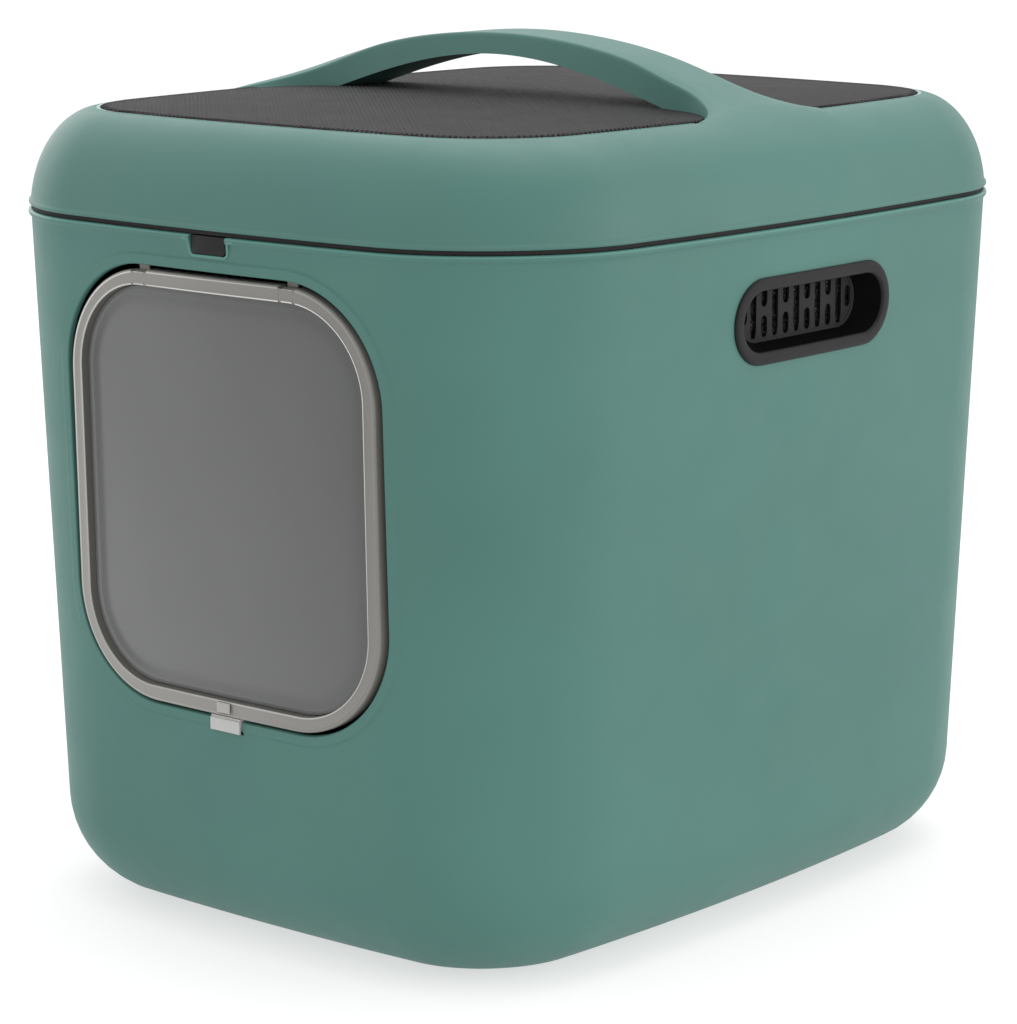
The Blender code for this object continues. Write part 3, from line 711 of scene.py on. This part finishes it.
def section(x):
    """Points over the handle from front to rear at one place along it, and those on its underside."""
    top = hermite(HANDLE_TOP, min(abs(x), HANDLE_TOP[-1][0]))
    far = min(abs(x), RING_X)
    arch = abs(x) < ARCH_END
    base = MAT_EDGE - 0.0008
    if arch:
        base = ARCH_HIGH - ARCH_DROP * (1 - math.cos(math.pi * abs(x) / (2 * ARCH_END)))
    wide = flare(x)
    spread = min(max((far - 0.090) / 0.025, 0), 1)
    crown = hermite(CROWN, far)
    front_edge, front_foot = HANDLE_FRONT - 0.0016 * spread - 0.94 * wide, FOOT_FRONT - wide
    rear_edge, rear_foot = HANDLE_REAR - 0.0004 * spread + 0.94 * wide, FOOT_REAR + wide
    front_drop, rear_drop = hermite(CREST_FRONT, far), hermite(CREST_REAR, far)

    def face(edge, foot, crest):
        """From just under the upper edge down to the foot."""
        rows = []
        for i in range(1, SIDE_STEPS + 1):
            q = i / SIDE_STEPS
            rows.append((edge + (foot - edge) * q, base + (crest - 0.0013 - base) * (1 - q)))
        return rows

    rounds = ((0.0016, 0.0), (0.0007, 0.00025), (0.0001, 0.0009))
    front_crest, rear_crest = top - front_drop, top - rear_drop
    front_face = face(front_edge, front_foot, front_crest)
    rear_face = face(rear_edge, rear_foot, rear_crest)
    front_round = [(front_edge + dy, front_crest - dz) for dy, dz in rounds]
    rear_round = [(rear_edge - dy, rear_crest - dz) for dy, dz in rounds]
    y0, y1 = front_round[0][0], rear_round[0][0]
    middle = []
    for i in range(1, TOP_STEPS):
        s = i / TOP_STEPS
        across = 2 * s - 1
        drop = (front_drop if across < 0 else rear_drop) * abs(across) ** crown
        middle.append((y0 + (y1 - y0) * s, top - drop))
    over = front_face[::-1] + front_round[::-1] + middle + rear_round + rear_face
    if not arch:
        return over, [(y, FOOT_BASE) for y, _z in over]
    y_first, y_last, count = over[0][0], over[-1][0], len(over) - 1
    return over, [(y_first + (y_last - y_first) * i / count, base) for i in range(count + 1)]


def make_hood():
    """The hood's two skins, the lip round its opening and the handle, all one surface."""
    foot_line = section(RING_X)[0]
    spread = [y / (1 - SEAM_PLAN[3]) for y, _z in foot_line]
    feet = len(spread)

    def long_side(side):
        """Columns of a long side, with those of the handle's foot in its middle."""
        values = spread if side == "right" else [-y for y in reversed(spread)]
        steps = 10
        before = [(side, values[0] * (i / steps), -(1 - i / steps)) for i in range(steps)]
        middle = [(side, y, 0.0) for y in values]
        after = [(side, values[-1] * (1 - i / steps), i / steps) for i in range(1, steps)]
        return before, middle, after

    columns, foot_at = [], {}
    for side, corner, end, corner_after in (("right", 0, "rear", 1), ("left", 2, "front", 3)):
        before, middle, after = long_side(side)
        columns += before
        foot_at[side] = len(columns)
        columns += middle + after
        columns += corner_columns(corner, 24) + side_columns(end, 24) + corner_columns(corner_after, 24)
    mesh = bmesh.new()

    def lift(x, y):
        """How far the handle's foot stands above the shoulder."""
        far = abs(x)
        if far > FOOT_TIP or not foot_line[0][0] < y < foot_line[-1][0]:
            return 0.0
        fade = min((FOOT_TIP - far) / (FOOT_TIP - RING_X), 1.0)
        after = next(k for k, point in enumerate(foot_line) if point[0] >= y)
        (y0, z0), (y1, z1) = foot_line[max(after - 1, 0)], foot_line[after]
        level = z0 + (z1 - z0) * (y - y0) / (y1 - y0) if y1 > y0 else z1
        return max(level - (SEAM_Z + DOME_UP), 0) * fade**2.1

    def row(inset, z, raised=False):
        made = []
        for column in columns:
            x, y, level = lid_point(column, inset, z)
            made.append(mesh.verts.new((x, y, level + (lift(x, y) if raised else 0))))
        return made

    steps = 34
    turns = [math.pi / 2 * i / steps for i in range(1, steps + 1)]
    outer = [row(inset, z) for inset, z in HOOD_EDGE_ROWS]
    low_turns = [t for t in turns if dome_point(t)[1] > 0.3815]
    outer += [row(*dome_point(t), raised=True) for t in low_turns]
    inner = [row(*dome_point(t, WALL)) for t in low_turns]
    skins(mesh, outer)
    skins(mesh, inner)
    skin(mesh, outer[0], inner[0])

    # The edge of the opening, except where the handle's feet leave it
    top_ring, low_ring = outer[-1], inner[-1]
    lips = []
    for share, drop in ((0.12, 0.0001), (0.85, 0.0002), (1, 0.0004), (1, 0.0014)):
        closer = 1 - LIP * share / RING_X
        lips.append([mesh.verts.new((v.co.x * closer, v.co.y * closer, MAT_EDGE - drop)) for v in top_ring])
    count = len(columns)
    skipped = set()
    for start in foot_at.values():
        skipped |= set(range(start, start + feet - 1))
    for i in range(count):
        if i in skipped:
            continue
        j = (i + 1) % count
        for step, (upper, lower) in enumerate(zip([top_ring, *lips], [*lips, low_ring])):
            face = mesh.faces.new((upper[i], upper[j], lower[j], lower[i]))
            # The lip's middle rows get the painted highlight green.
            face.material_index = 1 if step in (1, 2) else 0

    # The handle, from the right foot's columns to the left foot's
    ends = {}
    for side, start in foot_at.items():
        tops = top_ring[start:start + feet]
        lows = low_ring[start:start + feet]
        steps_down = [line[start:start + feet] for line in lips]
        if side == "left":
            tops, lows, steps_down = tops[::-1], lows[::-1], [line[::-1] for line in steps_down]
        ends[side] = (tops, lows, steps_down)
    xs = [RING_X * (1 - 0.26 * (i / 22)) for i in range(1, 22)]
    xs += [ARCH_END + 0.0008, ARCH_END - 0.0002]
    xs += [ARCH_END * (1 - i / 30) for i in range(1, 31)]
    stations = xs + [-x for x in reversed(xs[:-1])]
    loops = []
    for x in stations:
        over, under = section(x)
        bowed = []
        for y, z in over:
            share = max((abs(x) - 0.14) / (RING_X - 0.14), 0) ** 2
            ring_here = lid_point(("right", y / (1 - SEAM_PLAN[3]), 0.0), DOME_IN, 0)[0]
            bowed.append((x + math.copysign((ring_here - RING_X) * share, x), y, z))
        tops = [mesh.verts.new(point) for point in bowed]
        lows = [mesh.verts.new((point[0], y, z)) for point, (y, z) in zip(bowed, under)]
        loops.append((tops, lows))
    chain = [ends["right"][:2]] + loops + [ends["left"][:2]]
    for (tops, lows), (next_tops, next_lows) in zip(chain, chain[1:]):
        skin(mesh, tops, next_tops, closed=False)
        skin(mesh, lows, next_lows, closed=False)
        for k in (0, -1):
            mesh.faces.new((tops[k], next_tops[k], next_lows[k], lows[k]))
    for tops, lows, steps_down in ends.values():
        for k in (0, -1):
            mesh.faces.new((tops[k], *[line[k] for line in steps_down], lows[k]))
    loose = [v for v in mesh.verts if not v.link_faces]
    bmesh.ops.delete(mesh, geom=loose, context="VERTS")
    hood = finish_mesh("hood_shell", mesh, LID_GREEN, 38)
    hood.data.materials.append(LIP_PAINTED_HIGHLIGHT)
    piece(hood, "lid", "hood_plastic", "hood_cover")


def make_mat():
    """A crowned rubber mat whose woven top ends in small teeth along its cut edge."""
    full = [Vector(lid_point(c, DOME_IN + LIP + 0.0004, 0)) for c in round_columns(600, 420, 140)]
    travelled, distances = 0.0, []
    for point, following in zip(full, full[1:] + full[:1]):
        distances.append(travelled)
        travelled += (following - point).length
    teeth = round(travelled / TOOTH_PITCH)
    saw = [((d / travelled * teeth) % 1.0) for d in distances]
    notch = [min(1.0, max(0.0, 1.6 - abs(t - 0.5) / 0.17)) for t in saw]

    def ring(share, z, bite=0.0, drop=0.0):
        """The outline shrunk to a share, with its notches bitten in and dropped."""
        shares = [share - bite * n for n in notch]
        return [(p.x * s, p.y * s, z - drop * n) for p, s, n in zip(full, shares, notch)]

    rings = [ring(1, MAT_EDGE - 0.0030), ring(1, MAT_EDGE - 0.0014, 0.0105)]
    rings += [ring(0.9995, MAT_EDGE - 0.0001, 0.0110), ring(0.9965, MAT_EDGE + 0.0004, 0.0085, 0.0009)]
    rings.append(ring(0.983, MAT_EDGE + 0.0008))
    for share in (0.97, 0.94, 0.88, 0.8, 0.68, 0.55, 0.4, 0.25, 0.1, 0.02):
        rings.append(ring(share, MAT_EDGE + MAT_CROWN * (1 - share**2.4)))
    mat = loft("mat_top", rings, RUBBER)
    boolean(mat, [foot_prism(side) for side in (-1, 1)])
    piece(mat, "lid", "mat_rubber", "top_mat")


def foot_prism(side, gap=0.0013):
    """What the mat leaves free round a foot of the handle."""
    xs = [ARCH_END + (RING_X - 0.0002 - ARCH_END) * i / 26 for i in range(27)]
    front = [(x, FOOT_FRONT - flare(x) - gap) for x in xs]
    rear = [(x, FOOT_REAR + flare(x) + gap) for x in xs]
    start, end = ARCH_END - gap, SEAM_PLAN[0]
    shape = [(end, rear[-1][1]), (end, front[-1][1])] + front[::-1]
    shape += [(start, front[0][1]), (start, rear[0][1])] + rear
    return loft("foot prism", [[(side * x, y, z) for x, y in shape] for z in (0.41, 0.45)])


def make_liner():
    """Dark flange in the seam, skirt inside the tub's rim and a ceiling under the hood."""
    columns = round_columns(30, 30, 20)

    def ring(inset, z):
        return [lid_point(c, inset, z) for c in columns]

    def shoulder(depth):
        """Rings over the inside of the hood's shoulder, a depth below its skin."""
        points = [dome_point(math.pi / 2 * i / 16, depth) for i in range(1, 17)]
        return [ring(inset, z) for inset, z in points if z > 0.379]

    inside = [ring(LINER_IN, 0.3680)] + shoulder(LINER_IN)
    outside = [ring(0.0038, 0.3676), ring(0.0034, 0.3682), ring(0.0034, 0.3752), ring(0.0008, 0.3752),
               ring(0.0006, 0.3754), ring(0.0006, 0.3774), ring(0.0008, 0.3776), ring(LINER_OUT, 0.3776)]
    liner = loft("liner_shell", inside[::-1] + outside + shoulder(LINER_OUT), DARK)
    first = len(inside) + 1
    band(liner, {row: SEAM for row in range(first, first + 6)}, len(columns))
    piece(liner, "lid", "dark_plastic", "hood_liner")


def make_lid_hinges():
    """The lid's knuckles between the tub's ears, on the rear pins."""

    def knuckle(name, low, high, look, foot):
        made = rod(name, low, high, HINGE_Y, HINGE_Z, HINGE_R, look, HINGE_ROUND)
        boolean(made, [foot], "UNION")
        return boolean(made, [rod("bore", low - 0.01, high + 0.01, HINGE_Y, HINGE_Z, HINGE_BORE)])

    for side, word in ((-1, "left"), (1, "right")):
        low, high = side * HINGE_X - HINGE_HALF, side * HINGE_X + HINGE_HALF
        tongue = block("tongue", (low, 0.2370, 0.3753), (high, HINGE_Y - 0.001, 0.3775))
        piece(knuckle(f"lid_knuckle_{word}", low, high, DARK, tongue), "lid", "dark_plastic")
        for hand in (-1, 1):
            start = side * HINGE_X + hand * (HINGE_HALF + EAR_GAP)
            low, high = sorted((start, start + hand * EAR_LONG))
            web = block("web", (low, 0.2380, 0.3650), (high, HINGE_Y + 0.0015, 0.3743), bevel=HINGE_ROUND)
            name = f"tub_knuckle_{word}_{'outer' if hand == side else 'inner'}"
            piece(knuckle(name, low, high, TUB_GREEN, web), "tub", "tub_plastic")


# ---- flap
def flap_ring(shape, offset, depth):
    return [(x, flap_front(x, z) + depth, z) for x, z in outline(shape, offset)]


def pane_ring(offset, share, depth):
    """A ring of the pane, shrunk towards its middle."""
    middle = (FLAP_INNER[1] + FLAP_INNER[2]) / 2
    ring = []
    for x, z in outline(FLAP_INNER, offset):
        x, z = x * share, middle + (z - middle) * share
        ring.append((x, flap_front(x, z) + PANEL_SETBACK + depth, z))
    return ring


def make_flap():
    """The flap's moulded rim, with its lips and hinge notches, and the smoked pane in it."""
    outside = [(0, FLAP_DEPTH), (0, 0.0015), (-0.0002, 0.0009), (-0.0006, 0.0004),
               (-0.0011, 0.0001), (-0.0014, 0.0001), (-0.0018, 0.0004), (-0.0024, 0.00045)]
    inside = [(0.0018, 0.00045), (0.0012, 0.0003), (0.0009, 0.0), (0.0005, 0.0), (0.0001, 0.0004),
              (0, 0.0010), (-0.0002, PANEL_SETBACK - 0.0003), (-0.0002, FLAP_DEPTH)]
    rings = [flap_ring(FLAP, *step) for step in outside] + [flap_ring(FLAP_INNER, *step) for step in inside]
    rim = loft("flap_rim", rings, RIM, closed=True, sharp=40)
    # Rows 4 and 5 get the painted edge highlight, 10 and 11 the painted lip highlight, 12 to 14 the painted
    # shade of the inner wall.
    looks = {4: RIM_EDGE_HIGHLIGHT, 5: RIM_EDGE_HIGHLIGHT, 10: RIM_LIP_HIGHLIGHT, 11: RIM_LIP_HIGHLIGHT, 12: RIM_WALL_SHADE, 13: RIM_WALL_SHADE, 14: RIM_WALL_SHADE}
    band(rim, looks, len(rings[0]))
    half, low, high = LOCK_SLOT
    cutters = [block("lock slot", (-half, -0.25, low), (half, CUT_BACK, high))]
    for x in (-KNUCKLE_X, KNUCKLE_X):
        low, high = x - NOTCH_HALF, x + NOTCH_HALF
        cutters.append(block("notch", (low, NOTCH_BACK, NOTCH_LOW), (high, CUT_BACK, 0.3600)))
        cutters.append(block("notch front", (low, -0.25, NOTCH_CREST), (high, CUT_BACK, 0.3600)))
        for groove in (x - GROOVE_X, x + GROOVE_X):
            floor = flap_front(groove, 0.35) + GROOVE_DEEP
            low, high = groove - GROOVE_HALF, groove + GROOVE_HALF
            cutters.append(block("groove", (low, -0.25, 0.3440), (high, floor, 0.3560)))
        cutters.append(rod("bore", x - 0.0081, x + 0.0081, FLAP_AXIS_Y, FLAP_AXIS_Z, KNUCKLE_BORE))
    boolean(rim, cutters, sharp=40)
    piece(rim, "flap", "flap_rim_plastic", "flap_frame")
    back = [pane_ring(-0.0005, share, PANE_THICK) for share in (0.04, 0.4, 0.7)]
    dish = [(-0.0005, PANE_THICK), (-0.0005, 0.0001), (-0.0024, 0), (-0.0028, 0.0004), (-0.0034, 0.0009),
            (-0.0046, 0.0010), (-0.0066, 0.0007), (-0.0090, 0.0002), (-0.0112, 0)]
    front = [pane_ring(offset, 1, depth) for offset, depth in dish]
    front += [pane_ring(-0.0112, share, 0) for share in (0.93, 0.80, 0.62, 0.42, 0.2, 0.04)]
    panel = loft("flap_pane", back + front, SMOKE)
    piece(panel, "flap", "flap_smoked_plastic", "flap_panel")


def make_flap_brackets():
    """Knuckles in the rim's notches, each on an arm that runs back over the door."""
    for side, word in ((-1, "left"), (1, "right")):
        x = side * KNUCKLE_X
        ends = (x - KNUCKLE_HALF, x + KNUCKLE_HALF, FLAP_AXIS_Y, FLAP_AXIS_Z)
        knuckle = rod(f"flap_knuckle_{word}", *ends, KNUCKLE_R, RIM, 0.0003)
        low, high = x - BARREL_HALF, x + BARREL_HALF
        extra = [
            rod("barrel", low, high, FLAP_AXIS_Y, FLAP_AXIS_Z, BARREL_R, chamfer=0.0003),
            block("web", (low, -0.2352, 0.3500), (high, -0.2338, 0.3560)),
            block("arm", (low, -0.2368, 0.3557), (high, -0.2120, 0.3572), bevel=0.0004),
            block("plate", (low, -0.2367, 0.3560), (high, -0.2350, 0.3672), bevel=0.0005),
        ]
        boolean(knuckle, extra, "UNION")
        boolean(knuckle, [rod("bore", low - 0.01, high + 0.01, FLAP_AXIS_Y, FLAP_AXIS_Z, KNUCKLE_BORE)])
        piece(knuckle, "tub", "flap_rim_plastic", f"flap_hinge_bracket_{word}")


def make_lock():
    """The clear slider: a tab before the sill, a prong behind it and a small grip on the rim."""
    low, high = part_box("flap_lock")
    half, back = high[0], high[1]
    tab = block("lock_tab", (-half, -0.2353, low[2]), (half, -0.2337, 0.1252), CLEAR, 0.0004)
    extra = [
        block("bridge", (-half, -0.2345, 0.1222), (half, back, 0.1263), bevel=0.0003),
        block("rear prong", (-half, -0.2290, low[2]), (half, back, 0.1263), bevel=0.0003),
        block("rear plate", (-half, -0.2270, 0.1240), (half, back, 0.1340), bevel=0.0003),
        block("stem", (-0.0026, -0.2366, 0.1313), (0.0026, -0.2260, 0.1329)),
        block("grip", (-0.0040, -0.2370, 0.1286), (0.0052, -0.2362, 0.1342), bevel=0.0005),
    ]
    boolean(tab, extra, "UNION")
    tab.data.materials.append(KNOB)
    for face in tab.data.polygons:
        if face.center.z > 0.1275 and face.center.y < -0.2355:
            face.material_index = 1
    piece(tab, "lock", "clear_plastic", "flap_lock")


# ---- side grips
GRIP_WALL = tub_side(GRIP_Y, GRIP_Z)


def grip_ring(side, offset, depth):
    """A ring of the grip's flange, which follows the bowed wall."""
    ring = []
    for u, z in outline(GRIP_SHAPE, offset, 28):
        y = GRIP_Y + u
        ring.append((side * (tub_side(y, z) + depth), y, z))
    return ring


def plate_ring(side, offset, depth):
    """A ring round the slotted plate at the pocket's end."""
    return [(side * (GRIP_WALL + depth), GRIP_Y + u, z) for u, z in outline(PLATE_SHAPE, offset, 28)]


def slot_prism(side, y, z, height, depths):
    shape = (GRID_SLOT / 2, z - height / 2, z + height / 2, GRID_SLOT / 2 - 0.00005)
    around = outline(shape, 0, 6)
    return loft("slot", [[(side * (GRIP_WALL + x), y + u, v) for u, v in around] for x in depths])


def grid_slots():
    """Place and height of every slot: full columns, split columns between them, a short one at each end."""
    slots = [(GRIP_Y - GRID_END, GRID_Z, GRID_SHORT), (GRIP_Y + GRID_END, GRID_Z, GRID_SHORT)]
    for column in range(-4, 5):
        y = GRIP_Y + GRID_PITCH * column
        if column % 2:
            slots += [(y, GRID_Z - GRID_LIFT, GRID_SHORT), (y, GRID_Z + GRID_LIFT, GRID_SHORT)]
        else:
            slots.append((y, GRID_Z, GRID_TALL))
    return slots


def make_grip(side, word):
    """The pocket: from its slotted plate out to the flange and back behind the wall."""
    step = [(-0.0016, 0), (-0.0012, 0), (-0.0011, 0.0003), (-0.0004, 0.0004), (0.0, 0.0008)]
    rings = [plate_ring(side, offset, GRIP_FLOOR + depth) for offset, depth in step]
    flange = [(-0.0068, 0.0004), (-0.0065, 0.0011), (-0.0060, 0.0016), (-0.0053, 0.0018), (-0.0016, 0.0018),
              (-0.0008, 0.0016), (-0.0002, 0.0011), (0, 0.0006), (0, 0.0001), (-0.0042, 0.0001)]
    rings += [grip_ring(side, offset, depth) for offset, depth in flange]
    rings.append(plate_ring(side, 0.0012, GRIP_BACK))
    cup = loft(f"grip_{word}", rings, DARK)
    # The pocket's wall from plate to flange gets the painted shade.
    band(cup, {4: DEEP_SHADE}, len(rings[0]))
    depths = (GRIP_BACK - 0.0040, GRIP_FLOOR + 0.0030)
    boolean(cup, [slot_prism(side, *slot, depths) for slot in grid_slots()])
    piece(cup, "tub", "dark_plastic", f"grip_cup_{word}")


def make_filter(side, word):
    """A pad of carbon granules: its face towards the slots is a bed of small lumps."""
    low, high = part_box(f"carbon_filter_{word}")
    nx, nz = 150, 42
    mesh = bmesh.new()
    face = high[0] if side > 0 else low[0]
    rear = low[0] if side > 0 else high[0]
    grid = []
    for j in range(nz + 1):
        row = []
        for i in range(nx + 1):
            y = low[1] + (high[1] - low[1]) * i / nx
            z = low[2] + (high[2] - low[2]) * j / nz
            rim = min(i, nx - i, j, nz - j) == 0
            depth = 0.0 if rim else 0.0007 * noise.cell(Vector((y * 700, z * 700, side))) + 0.0002
            row.append(mesh.verts.new((face - side * depth, y, z)))
        grid.append(row)
    skins(mesh, grid, closed=False)
    border = grid[0] + [r[-1] for r in grid[1:]] + grid[-1][-2::-1] + [r[0] for r in grid[-2:0:-1]]
    behind = [mesh.verts.new((rear, v.co.y, v.co.z)) for v in border]
    skin(mesh, border, behind)
    mesh.faces.new(behind)
    pad = finish_mesh(f"carbon_pad_{word}", mesh, CARBON, 60)
    piece(pad, f"filter_drawer_{word}", "active_carbon", f"carbon_filter_{word}")


# ---- carried-over CAD nodes
def repaint():
    """Give the pins and filter covers, which stay as the frame has them, their looks."""
    for kind, look in (("flap_hinge_pin", STEEL), ("lid_hinge_pin", STEEL), ("filter_cover", DARK)):
        for word in ("left", "right"):
            obj = frame["nodes"][f"{kind}_{word}"]
            for entry in obj.material_slots:
                entry.material = look
            if not obj.material_slots:
                obj.data.materials.append(look)


# ---- light, floor and camera
def make_stage():
    mesh = bmesh.new()
    bmesh.ops.create_grid(mesh, x_segments=1, y_segments=1, size=6.0)
    floor = finish_mesh("floor", mesh, None)
    look, tree, shader = nodes_of("floor paper")
    tone = blend_colours(tree, noise_node(tree, 3.0), (0.395, 0.395, 0.395), (0.405, 0.405, 0.405))
    white = (1.0, 1.0, 1.0, 1.0)
    feed(tree, shader, Base_Color=tone, Emission_Color=white, Emission_Strength=0.61)
    feed(tree, shader, Roughness=0.9, Specular_IOR_Level=0.1)
    floor.data.materials.append(look)
    world = bpy.data.worlds.new("studio")
    world.use_nodes = True
    feed(world.node_tree, world.node_tree.nodes["Background"], Color=white, Strength=1.06)
    bpy.context.scene.world = world
    bpy.context.scene.view_settings.view_transform = "Standard"


def aimed(made, place, target):
    """Link a light or camera and turn it to its target."""
    bpy.context.scene.collection.objects.link(made)
    made.location = place
    made.rotation_euler = (Vector(target) - Vector(place)).to_track_quat("-Z", "Y").to_euler()


def soft_light(name, place, size, power):
    data = bpy.data.lights.new(name, "AREA")
    data.shape = "RECTANGLE"
    data.size = data.size_y = size
    data.energy = power
    aimed(bpy.data.objects.new(name, data), place, (0, 0, 0.2))


def make_lights():
    soft_light("top softbox", (0.0, 0.5, 2.4), 2.2, 27)
    soft_light("right softbox", (2.6, 0.9, 0.4), 2.4, 29)
    soft_light("left softbox", (-2.6, 0.6, 1.2), 2.2, 15)


def make_camera():
    """The photograph's viewpoint."""
    data = bpy.data.cameras.new("camera")
    data.sensor_width = 36.0
    data.sensor_fit = "AUTO"
    data.lens, data.shift_x, data.shift_y = 127.333, -0.00941, -0.00047
    data.clip_start, data.clip_end = 0.05, 30.0
    made = bpy.data.objects.new("camera", data)
    aimed(made, (1.27027, -1.52219, 0.59559), (0, 0, 0.1976))
    bpy.context.scene.camera = made


make_tub()
make_latch_bead()
make_latch()
make_hood()
make_mat()
make_liner()
make_lid_hinges()
make_flap()
make_flap_brackets()
make_lock()
for hand, hand_word in ((-1, "left"), (1, "right")):
    make_grip(hand, hand_word)
    make_filter(hand, hand_word)
repaint()
make_stage()
make_lights()
make_camera()
